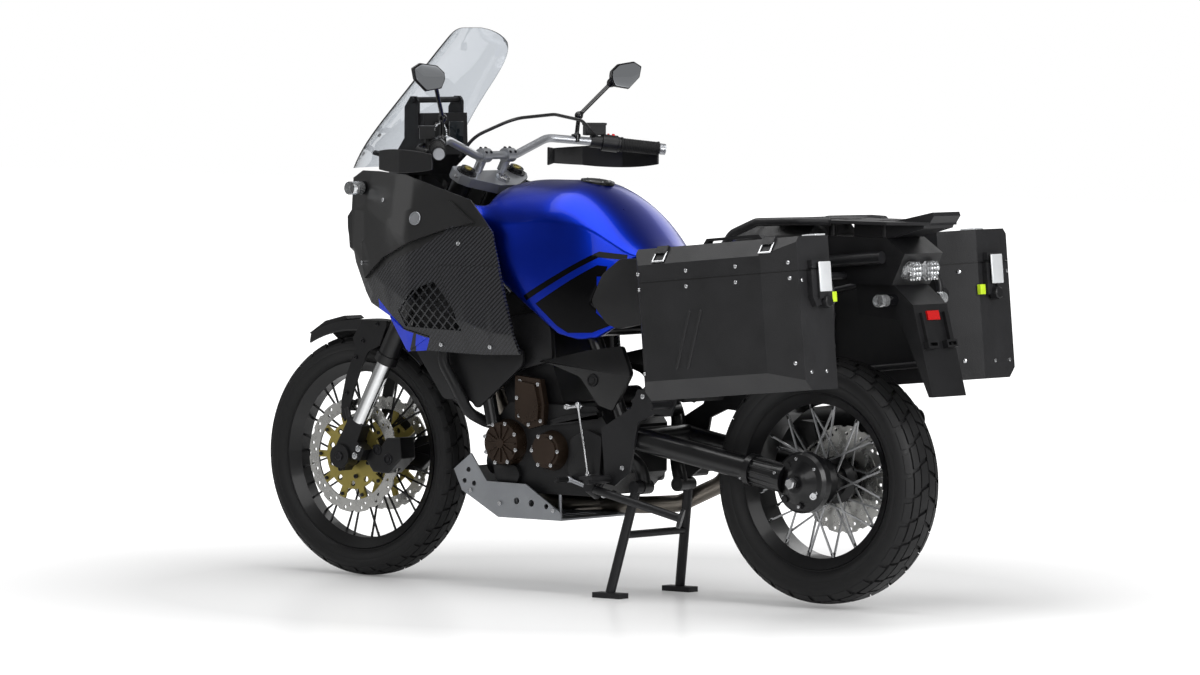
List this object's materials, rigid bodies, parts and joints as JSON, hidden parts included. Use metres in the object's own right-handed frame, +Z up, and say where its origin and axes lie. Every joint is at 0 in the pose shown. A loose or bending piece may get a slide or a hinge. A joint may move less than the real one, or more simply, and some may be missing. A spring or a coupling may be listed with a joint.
{
  "type": "adventure motorcycle",
  "caption": "Large road and gravel motorcycle with tall screen, spoked wheels, shaft drive and lidded metal side cases, on its centre stand.",
  "frame": {"origin": "on the floor under the middle of the motorcycle's outline", "axes": "+X forward along the wheelbase, +Y to the rider's left, +Z up"},
  "size_m": [2.2506, 0.9978, 1.493],
  "materials": {
    "tyre": "matte",
    "black_rim": "satin",
    "disc_steel": "satin",
    "carrier_gold": "anodised satin",
    "stanchion_chrome": "polished",
    "black_alloy": "satin",
    "silver_alloy": "satin",
    "black_plastic": "matte",
    "carbon_look": "satin",
    "blue_paint": "gloss",
    "clear_screen": "gloss",
    "lamp_lens": "gloss",
    "engine_black": "satin",
    "engine_bronze": "satin",
    "bare_aluminium": "brushed",
    "seat_cover": "matte",
    "case_powder": "matte powder coat",
    "rack_black": "satin",
    "exhaust_steel": "satin"
  },
  "bodies": {
    "chassis": {"main_frame": "black_alloy", "rear_subframe": "black_alloy", "engine": "engine_black", "engine_covers": "engine_bronze", "skid_plate": "bare_aluminium", "fuel_tank": "blue_paint", "side_fairings": "carbon_look", "nose_cowl": "black_plastic", "headlamps": "lamp_lens", "windscreen": "clear_screen", "instrument_panel": "black_plastic", "radiator": "black_plastic", "rider_seat": "seat_cover", "pillion_seat": "seat_cover", "luggage_rack": "rack_black", "tail_unit": "black_plastic", "tail_lamps": "lamp_lens", "indicators": "lamp_lens", "plate_holder": "black_plastic", "left_case": "case_powder", "right_case": "case_powder", "swingarm": "black_alloy", "final_drive": "black_alloy", "rear_caliper": "black_alloy", "exhaust_pipes": "exhaust_steel", "muffler": "exhaust_steel", "footrests": "black_alloy", "middle_body": "black_plastic"},
    "steering": {"fork_stanchions": "stanchion_chrome", "fork_outer_tubes": "black_alloy", "fork_feet": "black_alloy", "fork_yokes": "silver_alloy", "handlebar": "silver_alloy", "hand_guards": "black_plastic", "mirrors": "black_plastic", "front_fender": "black_plastic", "front_calipers": "black_alloy", "bar_controls": "black_plastic"},
    "front_wheel": {"front_rim": "black_rim", "front_tyre": "tyre", "front_discs": "disc_steel", "disc_carriers": "carrier_gold"},
    "rear_wheel": {"rear_rim": "black_rim", "rear_tyre": "tyre", "rear_disc": "disc_steel"},
    "centre_stand": {"centre_stand": "black_alloy"},
    "side_stand": {"side_stand": "black_alloy"},
    "left_lid": {"left_lid": "case_powder"},
    "right_lid": {"right_lid": "case_powder"}
  },
  "joints": [
    {"name": "steering", "type": "hinge", "parent": "chassis", "child": "steering", "pos_m": [0.40092, 0, 0.98], "axis": [-0.4695, 0, 0.8829], "range_deg": [-36, 36]},
    {"name": "front_axle", "type": "hinge", "parent": "steering", "child": "front_wheel", "pos_m": [0.796, 0, 0.3293], "axis": [0, 1, 0], "continuous": true},
    {"name": "rear_axle", "type": "hinge", "parent": "chassis", "child": "rear_wheel", "pos_m": [-0.74399, 0, 0.3309], "axis": [0, 1, 0], "continuous": true},
    {"name": "centre_stand_pivot", "type": "hinge", "parent": "chassis", "child": "centre_stand", "pos_m": [-0.205, 0, 0.292], "axis": [0, 1, 0], "range_deg": [0, 88]},
    {"name": "side_stand_pivot", "type": "hinge", "parent": "chassis", "child": "side_stand", "pos_m": [-0.12, 0.192, 0.285], "axis": [0.0789, -0.8767, -0.4745], "range_deg": [0, 86]},
    {"name": "left_lid_hinge", "type": "hinge", "parent": "chassis", "child": "left_lid", "pos_m": [-0.47058, 0.376, 0.85059], "axis": [0, 1, 0], "range_deg": [0, 95]},
    {"name": "right_lid_hinge", "type": "hinge", "parent": "chassis", "child": "right_lid", "pos_m": [-0.47058, -0.376, 0.85059], "axis": [0, 1, 0], "range_deg": [0, 95]}
  ]
}
